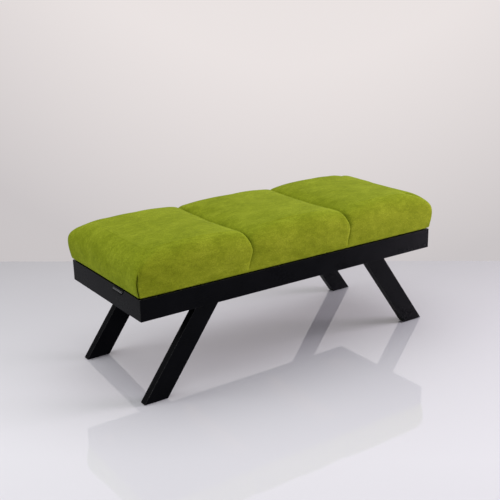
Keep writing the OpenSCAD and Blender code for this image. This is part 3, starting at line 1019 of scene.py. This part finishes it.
def sag_at(x, y):
    across = max(1 - (y / dust_high[1]) ** 2, 0)
    for start, end in BAYS:
        if start < x < end:
            along = (2 * x - start - end) / (end - start)
            return SAG * (1 - along ** 2) ** 0.7 * across ** 0.6
    return 0


def dust_mesh():
    xs = lines_between([dust_low[0], dust_high[0], *[x for bay in BAYS for x in bay]], 0.012)
    ys = lines_between([dust_low[1], dust_high[1]], 0.012)
    verts = []
    for x in xs:
        for y in ys:
            sag = sag_at(x, y)
            crumple = 0.0012 * noise.noise(Vector((x / 0.05, y / 0.05, 3))) * min(sag / 0.002, 1)
            verts.append((x, y, dust_high[2] - DUST_T / 2 - 0.0001 - max(sag + crumple, 0)))
    return verts, grid_faces(len(xs), len(ys))


verts, faces = dust_mesh()
dust = new_piece("under_cloth", verts, faces, spun_cloth, ["dust_cover"])
thicken(dust, "cloth", DUST_T)

# %% [markdown]
# ## Side tag
# A folded woven label is caught between the pad and the left end of the frame. It hangs a little
# askew. It could be a flat card, but a label is a ribbon folded double, so one line is drawn through
# its section, from the caught end down, round the fold and back, and the ribbon follows that line.

# %% Side tag
tag_low, tag_high = box_range("side_tag")
end_low = box_range("left_end_rail")[0]
RIBBON = 0.0003
TAG_SKEW = 0.018                  # how far the fold hangs towards the back


def tag_line():
    """The ribbon's middle line as (x, z), from its caught end to its folded-back end."""
    face_x = end_low[0] - 0.0007
    fold_z = tag_low[2]
    caught_z = FRAME_TOP + 0.00022
    line = [(x, caught_z) for x in np.linspace(tag_high[0], end_low[0] + 0.002, 5)]
    line += [(end_low[0] + 0.0005, caught_z - 0.0001), (face_x + 0.0001, FRAME_TOP - 0.0008)]
    line += [(face_x - 0.0004 * s, FRAME_TOP - 0.002 - (FRAME_TOP - fold_z - 0.003) * s)
             for s in np.linspace(0, 1, 7)]
    line += [(face_x - 0.0008, fold_z + 0.0002), (face_x - 0.0013, fold_z + 0.0002)]
    line += [(face_x - 0.0016 + 0.0008 * s, fold_z + 0.001 + (FRAME_TOP - fold_z - 0.003) * s)
             for s in np.linspace(0, 1, 7)]
    line += [(face_x - 0.0004, FRAME_TOP - 0.0004), (end_low[0] - 0.0001, FRAME_TOP + 0.0005)]
    line += [(x, FRAME_TOP + 0.0006) for x in np.linspace(end_low[0] + 0.002, tag_high[0], 5)]
    return line


def tag_mesh():
    line = tag_line()
    ys = np.linspace(tag_low[1], tag_high[1], 13)
    verts = []
    for x, z in line:
        drop = np.clip((FRAME_TOP - z) / (FRAME_TOP - tag_low[2]), 0, 1)
        for y in ys:
            curl = 0.0006 * drop * ((y - ys.mean()) / (ys[-1] - ys[0]) * 2) ** 2
            verts.append((x - curl, y + TAG_SKEW * drop, z))
    length = sum(math.dist(a, b) for a, b in zip(line, line[1:]))
    return verts, grid_faces(len(line), len(ys)), (tag_high[1] - tag_low[1], length)


verts, faces, flat = tag_mesh()
tag = new_piece("side_label", verts, faces, label, ["side_tag"])
thicken(tag, "ribbon", RIBBON)
print(tag.name, [round(s, 3) for s in flat])

# %% [markdown]
# ## Floor and light
# The bench stands on pale, polished acrylic, which mirrors it softly. The wall behind it is simply
# the world's light: the floor's straight far edge makes the line between them. A studio is bright
# in front of the camera and dim behind it, so the world's light follows its direction. A large soft
# lamp hangs overhead, and two more light the left end and the right of the front.

# %% Floor
FLOOR_BACK = 0.86
FLOOR_REACH = 3.2
FLOOR_TURN = math.radians(-3.5)       # the floor's far edge isn't quite square to the camera
floor_finish = Finish("polished_acrylic", Roughness=0.035, IOR=1.65)
floor_depth = floor_finish.node("ShaderNodeVectorMath", operation="DOT_PRODUCT")
floor_finish.feed(floor_depth.inputs[0], floor_finish.place)
floor_depth.inputs[1].default_value = look_direction(AZIMUTH + FLOOR_TURN, 0)
floor_share = floor_finish.math("ADD", floor_finish.math("MULTIPLY", floor_depth.outputs["Value"], 0.5), 0.5)
# painted shade: the floor's colour is painted darker with distance towards the wall, standing in for the
# lamps' light falling off; a faint noise adds an uneven tone
falloff_shade_and_mottle = floor_finish.math("ADD", floor_share, floor_finish.math("MULTIPLY", floor_finish.noise(1.3, 2), 0.05))
floor_finish.colour(floor_finish.ramp(falloff_shade_and_mottle, [(0.10, (0.77, 0.775, 0.81)), (0.60, (0.58, 0.585, 0.62)),
                                              (0.95, (0.43, 0.435, 0.46))]))
floor_mesh = bpy.data.meshes.new("floor")
turned = Matrix.Rotation(AZIMUTH + FLOOR_TURN, 2)
corners = ((-1, -1), (1, -1), (1, 1), (-1, 1))
floor_mesh.from_pydata([(*(turned @ Vector((x * FLOOR_REACH, FLOOR_BACK if y > 0 else -FLOOR_REACH))), 0)
                        for x, y in corners], [], [(0, 1, 2, 3)])
floor_mesh.materials.append(floor_finish.material)
floor = bpy.data.objects.new("floor", floor_mesh)
scene.collection.objects.link(floor)

# %% World
# the world's light by how nearly a direction points at the wall: beside and behind the camera, at the
# foot of the wall, and high on the wall
WORLD_LIGHT = ((0.0, (0.39, 0.39, 0.40)), (0.865, (0.590, 0.558, 0.565)), (0.960, (0.825, 0.772, 0.764)))


def studio_world():
    world = bpy.data.worlds.new("studio")
    world.use_nodes = True
    tree = world.node_tree
    background = tree.nodes["Background"]
    direction = tree.nodes.new("ShaderNodeTexCoord").outputs["Generated"]
    towards = tree.nodes.new("ShaderNodeVectorMath")
    towards.operation = "DOT_PRODUCT"
    towards.inputs[1].default_value = look_direction(AZIMUTH - math.radians(3), math.radians(-10))
    tree.links.new(direction, towards.inputs[0])
    ramp = tree.nodes.new("ShaderNodeValToRGB")
    tree.links.new(towards.outputs["Value"], ramp.inputs["Fac"])
    ramp.color_ramp.elements.new(0.5)
    for element, (position, colour) in zip(ramp.color_ramp.elements, WORLD_LIGHT):
        element.position = position
        element.color = (*colour, 1)
    tree.links.new(ramp.outputs["Color"], background.inputs["Color"])
    return world


scene.world = studio_world()
scene.view_settings.view_transform = "Standard"


# %% Lamps
def soft_lamp(name, place, aim, size, power, colour=(1, 1, 1)):
    light = bpy.data.lights.new(name, "AREA")
    light.shape = "RECTANGLE"
    light.size, light.size_y = size
    light.energy = power
    light.color = colour
    lamp = bpy.data.objects.new(name, light)
    lamp.location = place
    lamp.rotation_mode = "QUATERNION"
    lamp.rotation_quaternion = (Vector(aim) - Vector(place)).to_track_quat("-Z", "Y")
    scene.collection.objects.link(lamp)


soft_lamp("overhead", (0.2, 0.1, 3.2), (0, 0, 0), (4.0, 3.4), 58)
soft_lamp("left_window", (-2.4, 0.6, 1.5), (0, 0, 0.4), (1.6, 1.6), 18)
soft_lamp("right_front", (3.6, -1.9, 0.88), (0.3, 0, 0.4), (1.7, 1.4), 162, (1, 0.90, 1.0))
